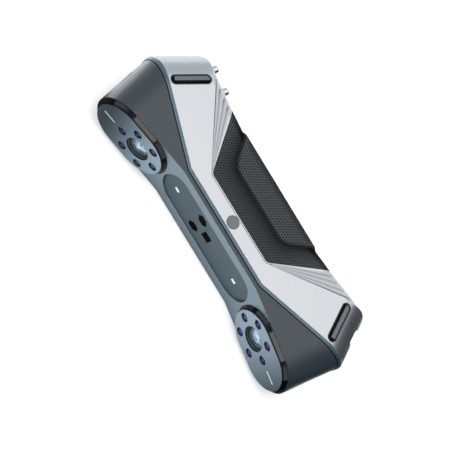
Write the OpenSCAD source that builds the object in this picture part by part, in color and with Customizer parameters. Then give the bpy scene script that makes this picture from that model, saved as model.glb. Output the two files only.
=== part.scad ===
// Hand-held three-dimensional scanner: two toed-in camera pods, a light plate in the waist,
// a full-round rear shell with a rubber grip, and three keys that travel.
// The modules work in the lens frame: the middle of the line between the two lens centres, at half
// thickness, X along the scanner, Y from the front to the back, Z out of the upper silver face.
// placed() moves that frame to the part's own, whose origin is the mouth of the tripod socket.

/* [Overall] */
// Thickness across the two silver faces
body_t = 43; // [41:0.5:45]
// Distance between the two lens centres
lens_base = 130; // [127:1:134]
// Angle that each pod turns towards the middle
toe_in = 10; // [9:0.5:11]
// Wall of the two housing shells
wall = 2.2; // [1.8:0.1:2.4]
// Gap round a piece that drops into a pocket
fit_gap = 0.1; // [0.05:0.01:0.15]

/* [Pods] */
// Radius of the pod face at its rounded ends
pod_face_r = 18.2; // [18:0.1:18.8]
// Radius of the pod rim at its foot
pod_foot_r = 19.8; // [19.2:0.1:19.9]
// Radius of the shadow groove round that foot
pod_groove_r = 20.3; // [20:0.1:20.5]
// Depth of the shadow groove
pod_groove_depth = 0.8; // [0.5:0.1:1]
// From the lens centre to the centre of the outer rounding
pod_tail = 14.8; // [13:0.1:16]
// Height of the pod above its foot
pod_step = 3.1; // [2.6:0.1:3.6]
// Thickness of the pod's face plate
face_t = 0.9; // [0.7:0.1:1.2]
// Radius of the plug that holds the rim in the body shell
plug_r = 16.7; // [16.5:0.1:17]
// Radius of the ring of light domes
dome_ring_r = 13.6; // [13.4:0.1:13.8]
// Diameter of the holes round the light domes
dome_hole_d = 6; // [5.6:0.1:6]
// Diameter of a light dome
dome_d = 5; // [4.6:0.1:5.2]
// Diameter of the sunk cup round each lens
cup_d = 16.4; // [15.6:0.1:16.8]
// Depth of that cup
cup_depth = 4.4; // [4:0.1:4.8]
// Diameter of each camera lens
lens_d = 10.6; // [9.6:0.1:11]
// Depth of the lens crown below the pod face
lens_sink = 1.6; // [1.4:0.1:2]
// From the lens centre to the near end of the light strip
strip_near = 20.2; // [19.8:0.1:21]
// Length of the light strip
strip_len = 8.8; // [7:0.1:9]
// Width of the light strip
strip_w = 0.8; // [0.6:0.1:1.2]

/* [Front body] */
// How far the dark body lies below the silver faces
front_inset = 0.7; // [0.5:0.1:0.9]
// Depth of the bezel's flat behind the lens centres
front_y = 7.7; // [7.4:0.1:8]
// Thickness of the front bezel
bezel_t = 1.7; // [1.6:0.1:1.8]
// Lip of the body shell round the bezel
bezel_lip = 0.6; // [0.5:0.1:0.8]
// Least width of the bezel between the plate and a pod's groove
bezel_bridge = 1.2; // [1:0.1:1.5]
// Length of the shallow pill on each dark end
end_pill_len = 14; // [12:0.5:16]
// Width of that pill
end_pill_w = 7; // [5:0.5:8]
// Depth of that pill
end_pill_depth = 0.6; // [0.4:0.1:0.8]

/* [Light plate] */
// Length of the pill-shaped plate
plate_len = 87.5; // [84:0.5:89]
// Width of that plate
plate_w = 27.2; // [26:0.2:28]
// Depth of the plate below the bezel's flat
plate_sink = 0.9; // [0.8:0.1:1.2]
// Length of a leaf window
leaf_len = 8.6; // [8.2:0.1:9]
// Width of a leaf window
leaf_w = 6.4; // [5.8:0.1:7]
// Place of the leaf windows along the plate
leaf_x = -9.6; // [-11:0.1:-9]
// Half distance between the leaf windows
leaf_z = 6.5; // [6.2:0.1:7]
// Side of the square camera window
square_w = 6.6; // [5.8:0.1:7]
// How far the dark windows lie below the plate
window_sink = 0.3; // [0.2:0.05:0.5]
// Distance of the slim light window from the middle
slim_x = 32.6; // [31:0.1:33]
// Distance of the square light window from the middle
short_x = 30.2; // [29:0.1:32]
// Length of the slim light window
slim_len = 4; // [3.6:0.1:5]
// Length of the square light window
short_len = 3.6; // [3:0.1:4.4]
// Width of the light windows
light_w = 2.6; // [2:0.1:3]

/* [Rear shell] */
// Depth of the silver front edge at the waist
seam_y = 12.4; // [12.2:0.1:12.6]
// Half length of the straight part of that edge
seam_run = 39.3; // [37.8:0.5:40.8]
// Angle of the edge beyond the straight part
seam_angle = 19.7; // [19.2:0.1:20.2]
// Width of the trim band between the two shells
band_w = 2.4; // [2:0.1:2.6]
// Angle at which each silver end draws in
end_taper = 26.5; // [26:0.5:27]
// Depth of the back face beside the grip
wing_y = 58.8; // [58.4:0.1:59.2]
// Where the wings begin
wing_x = 55; // [54:0.5:56]
// Angle of the wings
wing_angle = 7.8; // [7:0.2:8.4]
// Rounding between the silver faces and the back
back_round = 7; // [6:0.5:8]
// Rounding of the two back corners
corner_round = 5; // [4:0.5:6]

/* [Ribs beside the grip] */
// Number of ribs in each fan
rib_count = 4; // [3:1:5]
// Angle of the groove furthest from the grip
rib_first = 38.5; // [37.5:0.5:39.5]
// From the grip's front corner forward to the point that the fan spreads from
rib_from = 2.4; // [2:0.1:3]
// Depth of a groove where it passes the grip's back end
rib_depth = 0.9; // [0.6:0.1:1]
// Share of the pitch that the grooves take from the ribs
rib_fill = 0.92; // [0.7:0.02:0.94]

/* [Grip] */
// Depth of the grip's front edge
grip_front = 22.2; // [21.9:0.1:22.8]
// Half length of the grip's front edge
grip_run = 30.2; // [29.4:0.2:31]
// Angle of the grip's end edges
grip_angle = 53.8; // [53:0.2:55]
// Rounding of the grip's front corners
grip_corner = 4; // [3:0.5:5]
// Distance of the fine parting line in front of the grip
line_gap = 0.6; // [0.5:0.1:0.8]
// Width of that line
line_w = 0.35; // [0.25:0.05:0.5]
// Depth of that line
line_depth = 0.3; // [0.2:0.05:0.4]
// Thickness of the rubber at the edge
grip_t = 3; // [2.8:0.1:3.2]
// Depth of the valley round the raised pad
valley_depth = 1.4; // [1.2:0.1:1.8]
// Depth of the raised pad below the silver face
pad_sink = 0.3; // [0.2:0.1:0.5]
// Where the raised pad begins
pad_front = 39.6; // [38.6:0.2:41]
// Half length of the pad's front edge
pad_run = 26.6; // [25:0.2:27.6]
// Angle of the pad's end edges
pad_angle = 53; // [51:1:55]
// Rounding of the pad's front corners
pad_corner = 12; // [10:0.5:14]
// How far the grip's border stands past the shell's back
border_proud = 0.4; // [0.3:0.1:0.6]
// How far the pad stands past the shell's back
pad_proud = 0.9; // [0.8:0.1:1.2]

/* [Keys] */
// Place of the side button and of the tripod socket behind the lens centres
button_y = 17; // [16.9:0.1:17.1]
// Radius of the side button
button_r = 4; // [3.8:0.1:4.2]
// Gap round the side button
button_gap = 0.2; // [0.15:0.05:0.25]
// Travel of every key
key_travel = 0.6; // [0.4:0.1:0.6]
// Radius of a rear key
key_r = 2.7; // [2.4:0.1:2.8]
// Distance between the two rear keys
key_pitch = 14.5; // [13:0.5:15]
// From the back corner to the outer rear key, along the back
key_in = 13.2; // [12.8:0.1:13.8]
// Height of the rear keys above the middle plane
key_z = 12; // [11.5:0.1:12]
// How far a rear key stands out of the shell
key_proud = 4.8; // [4:0.1:5]
// Gap round a rear key
key_gap = 0.15; // [0.1:0.05:0.2]

/* [Strap slots] */
// Length of a strap slot
slot_len = 27; // [25.4:0.2:27.2]
// Width of a strap slot
slot_w = 6.4; // [6:0.1:6.6]
// Depth of a strap slot
slot_depth = 12; // [10:0.5:12.5]
// From the back corner to the middle of each slot, along the tapered end
slot_back = 13.7; // [13.5:0.1:14.3]
// From the shell's end to the middle of the slot
slot_in = 19.8; // [19:0.2:20.4]
// Wall of the cup that lines the slot
liner_t = 0.6; // [0.5:0.1:0.8]
// Depth of the cup's rim below the silver face
liner_sink = 0.2; // [0.1:0.05:0.3]
// Width of the strap bar in the cup
hook_w = 2.3; // [2:0.1:2.4]
// Height of the strap bar
hook_h = 5; // [4:0.5:6]
// Open length in front of the bar
hook_open = 3.2; // [2.8:0.1:3.6]
// Space between the bar and the cup's outer wall
hook_space = 0.5; // [0.4:0.1:0.6]
// Depth of the bar below the silver face
hook_sink = 0.9; // [0.8:0.1:1.2]

/* [Cable inlet] */
// Depth of the notch in the lower end
notch_depth = 5.5; // [5:0.1:5.8]
// From the back corner to the middle of the notch floor, along the tapered end
notch_back = 12.9; // [12.3:0.1:13.5]
// Length of the notch floor
notch_len = 8.6; // [8:0.2:9]
// Length of the slope behind the notch floor
notch_slope = 6; // [5:0.2:6.6]
// Width of the inlet's mouth
port_w = 9; // [8.6:0.1:9.4]
// Height of the inlet's mouth
port_h = 3.3; // [3:0.1:3.6]
// Length of the inlet
port_len = 7.5; // [7:0.1:8]
// Distance between the two lock nuts
nut_pitch = 15; // [14.5:0.1:16]
// Radius of a lock nut
nut_r = 1.9; // [1.7:0.1:2]
// Radius of a lock nut's hole
nut_hole_r = 0.8; // [0.7:0.05:1]

/* [Tripod socket] */
// Radius of the insert
insert_r = 4.2; // [4:0.1:4.3]
// Radius of the insert's hole, before its thread
insert_hole_r = 2.6; // [2.5:0.05:2.8]
// Length of the insert
insert_len = 8; // [7:0.1:8]

/* [Inside] */
// Thickness of the optical bench
bench_t = 6; // [5:0.5:6.5]
// Width of the optical bench
bench_w = 24; // [23:0.5:24]
// Depth of the bench's front behind the bezel's flat
bench_y = 13.5; // [13:0.1:13.8]
// Radius of a camera barrel in the bench
barrel_r = 8; // [7.8:0.1:8.2]
// Length of a camera barrel
barrel_len = 17; // [16:0.5:18]
// Radius of a line-light module
module_r = 3.4; // [3:0.1:3.5]
// Thickness of the circuit boards
board_t = 1.6; // [1.2:0.1:1.6]
// Length of the main board
main_len = 96; // [80:1:100]
// Width of the main board
main_w = 30; // [28:0.5:31]
// Least clearance of the main board in the rear shell
board_room = 0.5; // [0.3:0.1:0.8]
// Side of the processor on the main board
processor_w = 16; // [12:1:18]
// Height of the processor
processor_t = 2; // [1.5:0.5:2.5]
// Length of a memory block on the main board
memory_len = 12; // [10:1:14]
// Width of a memory block
memory_w = 8; // [7:0.5:9]
// Height of a memory block
memory_t = 1.2; // [1:0.1:1.4]
// Length of the main board's plug socket
socket_len = 6; // [5:0.5:7]
// Width of the plug socket
socket_w = 12; // [10:1:14]
// Height of the plug socket
socket_t = 3; // [2.5:0.5:3.5]
// Length of the stand-offs between the bench and the main board
standoff_len = 11; // [9:0.5:12]
// Radius of a screw's shank
screw_r = 1.2; // [1:0.1:1.3]
// Length of a board screw's thread in its stand-off
screw_bite = 4; // [3:0.5:5]
// Radius of a screw's head
screw_head_r = 2.2; // [2:0.1:2.4]

/* [Hidden] */
$fn = 64;

// Reaches past the whole scanner in cuts and halves
far = 160;
// Depth of the forms that pass the whole scanner, and where one starts that is open at the front
deep = 100;
ahead = -20;
// A full-round end is this much fuller than its flats are thick, so that the two cross cleanly
round_gap = 0.02;
// Overlap of a cut past the face that it opens
cut = 1;
half_t = body_t / 2;
dark_half = half_t - front_inset;
// The band stands half way between the dark body and the silver shell
band_half = half_t - front_inset / 2;
skin = wall + 0.2;
floor_y = front_y + bezel_t;
pod_back = pod_step + bezel_t + wall;
band_in = band_half - wall - 0.6;
// Where the silver end meets the seam
seam_end_x = (lens_base / 2 + (pod_tail + half_t) / cos(toe_in)
  + (seam_y - seam_run * tan(seam_angle)) * tan(toe_in)) / (1 - tan(seam_angle) * tan(toe_in));
seam_end_y = seam_y + (seam_end_x - seam_run) * tan(seam_angle);
end_axis_x = seam_end_x - half_t / cos(end_taper);
core_half = half_t - grip_t;
core_back = wing_y - grip_t + 1;
cavity_half = core_half - wall;
rib_step = (grip_angle - rib_first) / rib_count;
// The grooves dip and widen evenly from the point of the fan, so each is a straight V
rib_dip = atan(rib_depth * sin(grip_angle) / (wing_y - grip_front));
rib_flank = tan(rib_step / 2) * rib_fill / tan(rib_dip);
rib_start = 4.5;
wing_len = (corner_x(0) - wing_x) / cos(wing_angle);
barrel_shoulder = pod_back + board_t + cut;
bench_back = bench_y + bench_t;
board_y = bench_back + standoff_len;
// From a lens centre to the inner end of the bench's arm, and the arm's lap on the bench
arm_len = 26;
arm_lap = 5;
bench_len = lens_base - 2 * (arm_len - arm_lap);
barrel_gap = 0.05;
camera_w = 9;
// Space round the parts on the main board
chip_gap = 1;
standoff_x = 36;
standoff_z = 9;
standoff_r = 2.5;
bench_boss_x = 24;
bench_boss_r = 3;
bench_boss_z = 8.5;
pilot_r = screw_r + 0.05;
head_h = 1.6;
// Rear keys, their board and the board's post, measured inwards from the wing's back face
key_collar = 0.9;
key_flange_r = key_r + 0.9;
key_flange_t = 0.5;
key_stem_end = skin + 0.8;
switch_top = key_stem_end + key_travel + 0.05;
key_board_face = switch_top + 0.45;
key_board_t = 0.8;
key_screw_r = 0.8;
key_screw_head = 0.8;
// Board's margin past the keys, and its width below and above their middle
key_board_end = 4;
key_board_low = 4;
key_board_high = 3;
// Inlet's board, along the tapered end and in height
port_board_len = 12;
port_board_h = 22;
// The side button's stack, measured upwards from the middle plane
button_stem_end = bench_w / 2 + board_t + 3.8;
button_flange_top = half_t - skin - 0.1;
button_flange_r = button_r + 0.5;
button_flange_t = 0.9;
end_pill_at = 23.2;
notch_floor = -notch_depth;

// Moves the lens frame to the part's frame
module placed() translate([0, -button_y, half_t]) children();

// A 2-D outline in X and Z, drawn out along Y from 0 to h
module along_y(h) translate([0, h, 0]) rotate([90, 0, 0]) linear_extrude(h) children();

// A 2-D profile in Y and Z, drawn out along X from 0 to h
module along_x(h) rotate([90, 0, 90]) linear_extrude(h) children();

// A cylinder along Y
module rod_y(r, h) rotate([-90, 0, 0]) cylinder(r = r, h = h);

// Left is towards -X and right towards +X
module sided(side) mirror([side < 0 ? 1 : 0, 0, 0]) children();

// Pod frame: the lens centre, X outwards along the pod, Y backwards along its optical axis
module at_pod(side) sided(side) translate([lens_base / 2, 0, 0]) rotate([0, 0, -toe_in]) children();

// Wing frame: X outwards along the wing's back face, Y out of that face
module at_wing(side) sided(side) translate([wing_x, wing_y, 0]) rotate([0, 0, wing_angle]) children();

// End frame: the back corner, Y along the tapered end, so that the end lies at Y below 0, X out of it
module at_end(side) sided(side) translate([corner_x(0), corner_y(0), 0]) rotate([0, 0, end_taper]) children();

// An outline with two round ends on the X axis
module pill(x0, x1, r) {
  translate([x0, 0]) circle(r);
  translate([x1, 0]) circle(r);
  translate([x0, -r]) square([x1 - x0, 2 * r]);
}

// The same outline as a solid along Y whose radius runs from r0 to r1
module tapered_pill(x0, x1, r0, r1, h) {
  for (x = [x0, x1]) translate([x, 0, 0]) rotate([-90, 0, 0]) cylinder(h = h, r1 = r0, r2 = r1);
  translate([x0, 0, 0]) along_x(x1 - x0) polygon([[0, -r0], [0, r0], [h, r1], [h, -r1]]);
}

// Everything less than r from the middle plane
module slab(r) translate([-far, -far, -r]) cube([2 * far, 2 * far, 2 * r]);

// Front body with a full-round end: the waist's flat and the two pod planes
module front_form(r, front) intersection() {
  slab(r);
  union() {
    translate([-lens_base / 2, front_y + front, -r - cut]) cube([lens_base, deep, 2 * (r + cut)]);
    for (side = [-1, 1])
      at_pod(side) translate([0, pod_step + front, 0]) along_y(deep) {
        translate([pod_tail, 0]) circle(r + round_gap);
        translate([-lens_base / 2, -r - round_gap]) square([lens_base / 2 + pod_tail, 2 * (r + round_gap)]);
      }
  }
}

// Everything behind the seam, moved back by dy
module behind_seam(dy) translate([0, dy, -far / 2]) linear_extrude(far)
  polygon([
    [-seam_run, seam_y], [seam_run, seam_y],
    [far, seam_y + (far - seam_run) * tan(seam_angle)], [far, far], [-far, far],
    [-far, seam_y + (far - seam_run) * tan(seam_angle)]
  ]);

// Outline of the bezel, drawn in by d
module bezel_outline(d) square([lens_base - 10 - 2 * d, 2 * (dark_half - bezel_lip - d)], center = true);

// The bezel's space in the body shell, drawn in by d
module bezel_space(d) difference() {
  intersection() {
    front_form(dark_half + cut, 0);
    along_y(floor_y + cut) bezel_outline(d);
  }
  front_form(dark_half + 2 * cut, bezel_t);
  for (side = [-1, 1])
    at_pod(side) translate([0, -cut, 0]) along_y(far / 4) pill(0, pod_tail, pod_groove_r + d);
}

// Outline of the light plate, drawn in by d
// A long plate is scooped round the pods, so that the bezel stays whole between them
module plate_outline(d) difference() {
  pill(-(plate_len - plate_w) / 2, (plate_len - plate_w) / 2, plate_w / 2 - d);
  for (side = [-1, 1]) translate([side * (lens_base / 2 + front_y * tan(toe_in)), 0])
    circle((pod_groove_r + bezel_bridge) / cos(toe_in) + d);
}

// A leaf-shaped window, drawn in by d
module leaf_outline(d) {
  a = leaf_len / 2 - d;
  b = leaf_w / 2 - d;
  polygon([[-a, 0], [-a * 0.55, b], [a * 0.35, b], [a, 0], [a * 0.55, -b], [-a * 0.35, -b]]);
}

module leaf_places() for (s = [0, 1]) mirror([0, 0, s]) translate([leaf_x, 0, leaf_z]) children();

// Places of the posts between the body shell and the optical bench
module bench_posts() for (x = [-bench_boss_x, bench_boss_x], z = [-bench_boss_z, bench_boss_z])
  translate([x, 0, z]) children();

module body_shell() color("DimGray") placed() difference() {
  union() {
    difference() {
      front_form(dark_half, 0);
      behind_seam(-band_w);
    }
    // Front plate that passes inside the trim band
    front_form(band_in - fit_gap, bezel_t);
  }
  difference() {
    front_form(dark_half - wall, bezel_t + wall);
    bench_posts() rod_y(bench_boss_r, bench_y);
  }
  bezel_space(0);
  along_y(floor_y) plate_outline(0);
  for (side = [-1, 1]) at_pod(side) {
    translate([0, pod_step - cut, 0]) along_y(far / 4) pill(0, pod_tail, plug_r + fit_gap);
    along_y(pod_step + pod_groove_depth) difference() {
      pill(0, pod_tail, pod_groove_r);
      pill(0, pod_tail, pod_foot_r);
    }
    // Shallow pill on the dark end
    translate([pod_tail + dark_half - end_pill_depth, end_pill_at, 0]) along_x(cut * 2)
      pill(-(end_pill_len - end_pill_w) / 2, (end_pill_len - end_pill_w) / 2, end_pill_w / 2);
  }
  leaf_places() rod_y(module_r + fit_gap, far / 4);
  translate([-camera_w / 2 - fit_gap, 0, -camera_w / 2 - fit_gap])
    cube([camera_w + 2 * fit_gap, far / 4, camera_w + 2 * fit_gap]);
  bench_posts() translate([0, floor_y + cut, 0]) rod_y(pilot_r, far / 4);
}

module seam_band() color("SlateGray") placed() difference() {
  front_form(band_half, 0);
  front_form(band_in, ahead);
  behind_seam(0);
  difference() {
    translate([-far, -far, -far]) cube(2 * far);
    behind_seam(-band_w);
  }
}

module front_bezel() color([0.42, 0.49, 0.52]) placed() difference() {
  bezel_space(fit_gap);
  translate([0, -cut, 0]) along_y(floor_y + 2 * cut) plate_outline(0);
}

module projector_plate() color([0.29, 0.35, 0.38]) placed()
  translate([0, front_y + plate_sink, 0]) difference() {
    along_y(bezel_t - plate_sink) plate_outline(fit_gap);
    translate([0, -cut, 0]) along_y(far / 4) {
      for (s = [0, 1]) mirror([0, s]) translate([leaf_x, leaf_z]) leaf_outline(0);
      square(square_w, center = true);
      translate([-slim_x, 0]) pill(-(slim_len - light_w) / 2, (slim_len - light_w) / 2, light_w / 2);
      translate([short_x - short_len / 2, -light_w / 2]) square([short_len, light_w]);
    }
  }

module window_place() translate([0, front_y + plate_sink + window_sink, 0]) children();

module leaf_windows() color("Black") placed() window_place()
  for (s = [0, 1]) mirror([0, 0, s]) translate([leaf_x, 0, leaf_z])
    along_y(bezel_t - plate_sink - window_sink) leaf_outline(fit_gap);

module camera_window() color("Black") placed() window_place()
  along_y(bezel_t - plate_sink - window_sink) square(square_w - 2 * fit_gap, center = true);

module slim_light_window() color("White") placed() translate([-slim_x, front_y + plate_sink, 0])
  along_y(bezel_t - plate_sink)
    pill(-(slim_len - light_w) / 2, (slim_len - light_w) / 2, light_w / 2 - fit_gap);

module square_light_window() color("White") placed() translate([short_x, front_y + plate_sink, 0])
  along_y(bezel_t - plate_sink) square([short_len - 2 * fit_gap, light_w - 2 * fit_gap], center = true);

// Centres of the six light domes round a lens, two of them on the pod's axis
module dome_places() for (a = [0:60:300])
  translate([dome_ring_r * cos(a), 0, dome_ring_r * sin(a)]) children();

// Everything that opens the pod's face and rim
module pod_openings(r_lens) {
  translate([0, -cut, 0]) rod_y(r_lens, far / 4);
  dome_places() translate([0, -cut, 0]) rod_y(dome_hole_d / 2, far / 4);
}

module strip_space(d) translate([strip_near, 0, 0]) along_y(pod_step)
  pill(strip_w / 2, strip_len - strip_w / 2, strip_w / 2 - d);

pod_mid_r = pod_face_r + (pod_foot_r - pod_face_r) * face_t / pod_step;

module pod_face(side) color([0.42, 0.49, 0.52]) placed() at_pod(side) difference() {
  tapered_pill(0, pod_tail, pod_face_r, pod_mid_r, face_t);
  pod_openings(cup_d / 2);
  translate([0, -cut, 0]) strip_space(0);
}

module pod_rim(side) color([0.06, 0.06, 0.07]) placed() at_pod(side) difference() {
  union() {
    translate([0, face_t, 0]) tapered_pill(0, pod_tail, pod_mid_r, pod_foot_r, pod_step - face_t);
    translate([0, pod_step, 0]) along_y(bezel_t + wall) pill(0, pod_tail, plug_r);
  }
  pod_openings(cup_d / 2 + 1 + fit_gap);
  translate([0, -cut, 0]) strip_space(0);
}

module light_strip(side) color("White") placed() at_pod(side) intersection() {
  strip_space(0.02);
  along_y(pod_step - cut) square([far, far], center = true);
}

// The cup, the nose round the lens and the barrel behind, in one turned profile
module camera_barrel(side) color([0.13, 0.15, 0.17]) placed() at_pod(side) rotate([-90, 0, 0])
  rotate_extrude() polygon([
    [0, lens_sink + 5], [lens_d / 2, lens_sink + 5], [lens_d / 2, lens_sink + 0.4],
    [lens_d / 2 + 0.7, lens_sink + 0.4], [lens_d / 2 + 1, cup_depth], [cup_d / 2, cup_depth],
    [cup_d / 2, face_t], [cup_d / 2 + 1, face_t], [cup_d / 2 + 1, barrel_shoulder],
    [barrel_r, barrel_shoulder], [barrel_r, barrel_len], [0, barrel_len]
  ]);

// A plano-convex lens whose crown is a cap of a ball
lens_crown = 1.4;
lens_ball_r = (pow(lens_d / 2, 2) + pow(lens_crown, 2)) / (2 * lens_crown);

module lens(side) color([0.75, 0.85, 0.9]) placed() at_pod(side) rotate([-90, 0, 0])
  rotate_extrude() intersection() {
    translate([0, lens_sink + lens_ball_r]) circle(lens_ball_r);
    translate([0, lens_sink - cut]) square([lens_d / 2, 5 + cut]);
  }

module light_domes(side) color([0.15, 0.15, 0.5]) placed() at_pod(side) dome_places() {
  translate([0, dome_d / 2 + 0.2, 0]) sphere(dome_d / 2);
  translate([0, dome_d / 2 + 0.2, 0]) rod_y(dome_d / 2, pod_back - dome_d / 2 - 0.2);
}

module light_board(side) color("DarkGreen") placed() at_pod(side) translate([0, pod_back, 0])
  difference() {
    rod_y(plug_r + 0.3, board_t);
    translate([0, -cut, 0]) rod_y(cup_d / 2 + 1.3, board_t + 2 * cut);
  }

module sensor_board(side) color("DarkGreen") placed() at_pod(side)
  translate([-bench_w / 2, barrel_len, -bench_w / 2]) cube([bench_w, board_t, bench_w]);

module optical_bench() color("Silver") placed() difference() {
  union() {
    translate([-bench_len / 2, bench_y, -bench_w / 2]) cube([bench_len, bench_t, bench_w]);
    for (side = [-1, 1]) at_pod(side)
      translate([-arm_len, barrel_shoulder, -bench_w / 2 + cut])
        cube([arm_len + bench_w / 2, bench_t - 1.5, bench_w - 2 * cut]);
  }
  for (side = [-1, 1]) at_pod(side) rod_y(barrel_r + barrel_gap, far / 4);
  leaf_places() rod_y(module_r + barrel_gap, far / 4);
  bench_posts() rod_y(pilot_r, far / 4);
}

module line_light_modules() color("Goldenrod") placed() leaf_places()
  translate([0, floor_y, 0]) rod_y(module_r, bench_back + 2 - floor_y);

module colour_camera() color([0.1, 0.1, 0.12]) placed() {
  translate([-camera_w / 2, floor_y + cut, -camera_w / 2])
    cube([camera_w, bench_y - floor_y - cut, camera_w]);
  translate([0, floor_y, 0]) rod_y(2.4, cut);
}

module bench_screws() color("DarkGray") placed() bench_posts() {
  translate([0, floor_y + wall, 0]) rod_y(screw_r, bench_back - floor_y - wall);
  translate([0, bench_back, 0]) rod_y(screw_head_r, head_h);
}

module standoff_places() for (x = [-standoff_x, standoff_x], z = [-standoff_z, standoff_z])
  translate([x, 0, z]) children();

module board_standoffs() color("Silver") placed() standoff_places() difference() {
  translate([0, bench_back, 0]) rod_y(standoff_r, standoff_len);
  translate([0, board_y - screw_bite - cut, 0]) rod_y(pilot_r, screw_bite + 2 * cut);
}

module main_board() color("DarkGreen") placed() difference() {
  union() {
    translate([-main_len / 2, board_y, -main_w / 2]) cube([main_len, board_t, main_w]);
    // Processor, memory and plug socket
    translate([-processor_w / 2 - 2 * chip_gap, board_y + board_t, -processor_w / 2])
      cube([processor_w, processor_t, processor_w]);
    for (z = [-memory_w - chip_gap, chip_gap])
      translate([processor_w / 2 + 4 * chip_gap, board_y + board_t, z])
        cube([memory_len, memory_t, memory_w]);
    translate([main_len / 2 - socket_len - chip_gap, board_y + board_t, -socket_w / 2])
      cube([socket_len, socket_t, socket_w]);
  }
  standoff_places() translate([0, board_y - cut, 0]) rod_y(pilot_r, board_t + 2 * cut);
}

module board_screws() color("DarkGray") placed() standoff_places() {
  translate([0, board_y - screw_bite, 0]) rod_y(screw_r, screw_bite + board_t);
  translate([0, board_y + board_t, 0]) rod_y(screw_head_r, head_h);
}

// Silver shell's round ends with radius r, on the same axes for every r; the slab makes its flats
module ends_form(r) {
  full = r + round_gap;
  axis_back = end_axis_x - deep * tan(end_taper);
  axis_front = end_axis_x + seam_end_y * tan(end_taper);
  translate([0, 0, -full]) linear_extrude(2 * full) polygon([
    [-axis_front, 0], [axis_front, 0], [axis_back, seam_end_y + deep], [-axis_back, seam_end_y + deep]
  ]);
  for (side = [-1, 1]) sided(side) translate([end_axis_x, seam_end_y, 0]) rotate([0, 0, end_taper])
    translate([0, -far / 2, 0]) rod_y(full, far);
}

// Profile in Y and Z of a back at y with rounded edges
module back_profile(r, y, round_r) {
  translate([-far / 3, -r]) square([far / 3 + y - round_r, 2 * r]);
  translate([-far / 3, round_r - r]) square([far / 3 + y, 2 * (r - round_r)]);
  for (s = [-1, 1]) translate([y - round_r, s * (r - round_r)]) circle(round_r);
}

// Limits of the back: a straight middle and two wings that lean outwards, drawn in by d
module back_form(r, d) {
  full = r + round_gap;
  translate([-wing_x - 2, 0, 0]) along_x(2 * wing_x + 4) back_profile(full, wing_y - d, back_round);
  // The wings begin inside the middle, so that no gap opens between them at the front
  for (side = [-1, 1]) at_wing(side) translate([-8, 0, 0])
    along_x(far / 2) back_profile(full, -d, back_round);
}

// Where the end's line and the wing's line meet, both drawn in by d
function corner_x(d) = (seam_end_x - d / cos(end_taper)
  - tan(end_taper) * (wing_y - d / cos(wing_angle) - wing_x * tan(wing_angle) - seam_end_y))
  / (1 + tan(end_taper) * tan(wing_angle));
function corner_y(d) = wing_y - d / cos(wing_angle) + (corner_x(d) - wing_x) * tan(wing_angle);

// What the rounding takes off a back corner; its circle is a little wide, so that it crosses the walls
module corner_cut(side) sided(side) {
  c = [corner_x(corner_round), corner_y(corner_round)];
  translate([0, 0, -far / 4]) linear_extrude(far / 2) difference() {
    polygon([c, c + far / 8 * [cos(end_taper), sin(end_taper)], c + far / 8 * [1, 1],
      c + far / 8 * [-sin(wing_angle), cos(wing_angle)]]);
    translate(c) circle(corner_round + 0.06);
  }
}

// The silver shell as a full body, drawn in by d
module rear_form(d) intersection() {
  slab(half_t - d);
  ends_form(half_t - d);
  back_form(half_t - d, d);
}

// A plan that widens to the back from a straight front, with two rounded front corners
module shield(run, front, angle, r) {
  t = r * tan(angle / 2);
  back = far / 2;
  end = run + (back - front) / tan(angle);
  half = [[run - t, front], [run + t * cos(angle), front + t * sin(angle)], [end, back]];
  polygon(concat(half, [for (i = [2:-1:0]) [-half[i][0], half[i][1]]]));
  for (s = [-1, 1]) translate([s * (run - t), front + r]) circle(r);
}

// Plan of the grip, widened by d
module grip_plan(d) shield(grip_run + d * tan(grip_angle / 2), grip_front - d, grip_angle, grip_corner + d);

module grip_region(d) translate([0, 0, -far / 2]) linear_extrude(far) grip_plan(d);

// What the shell keeps under the rubber
module grip_core(d) translate([-far / 2, 0, 0]) along_x(far)
  back_profile(core_half - d, core_back - d, back_round);

// A groove of the fan; the outermost has a steep side towards the smooth face
module rib_groove(i) {
  h = wall;
  outer = i == 0 ? rib_flank * 0.12 : rib_flank;
  translate([grip_run, grip_front, half_t]) rotate(grip_angle) translate([-rib_from, 0, 0])
    rotate(rib_first - grip_angle + i * rib_step) rotate([0, rib_dip, 0]) translate([rib_start, 0, 0])
      along_x(far / 2) polygon([[0, 0], [rib_flank * h, h], [-outer * h, h]]);
}

module rib_fans() for (flip = [0, 1], side = [-1, 1]) mirror([0, 0, flip]) sided(side)
  for (i = [0:rib_count - 1]) rib_groove(i);

// Fine line in the silver face, along the grip's front edge and round its corners
module parting_line() for (flip = [0, 1]) mirror([0, 0, flip])
  translate([0, 0, half_t - line_depth]) linear_extrude(line_depth + cut) intersection() {
    difference() {
      grip_plan(line_gap + line_w);
      grip_plan(line_gap);
    }
    translate([-grip_run - cut, 0]) square([2 * (grip_run + cut), grip_front + 0.6]);
  }

module slot_outline(d) rotate(90) pill(-(slot_len - slot_w) / 2, (slot_len - slot_w) / 2, slot_w / 2 + d);

// Strap slot frame: the middle of the slot, Y along it
module at_slot(side) at_end(side) translate([-slot_in, -slot_back, 0]) children();

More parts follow.
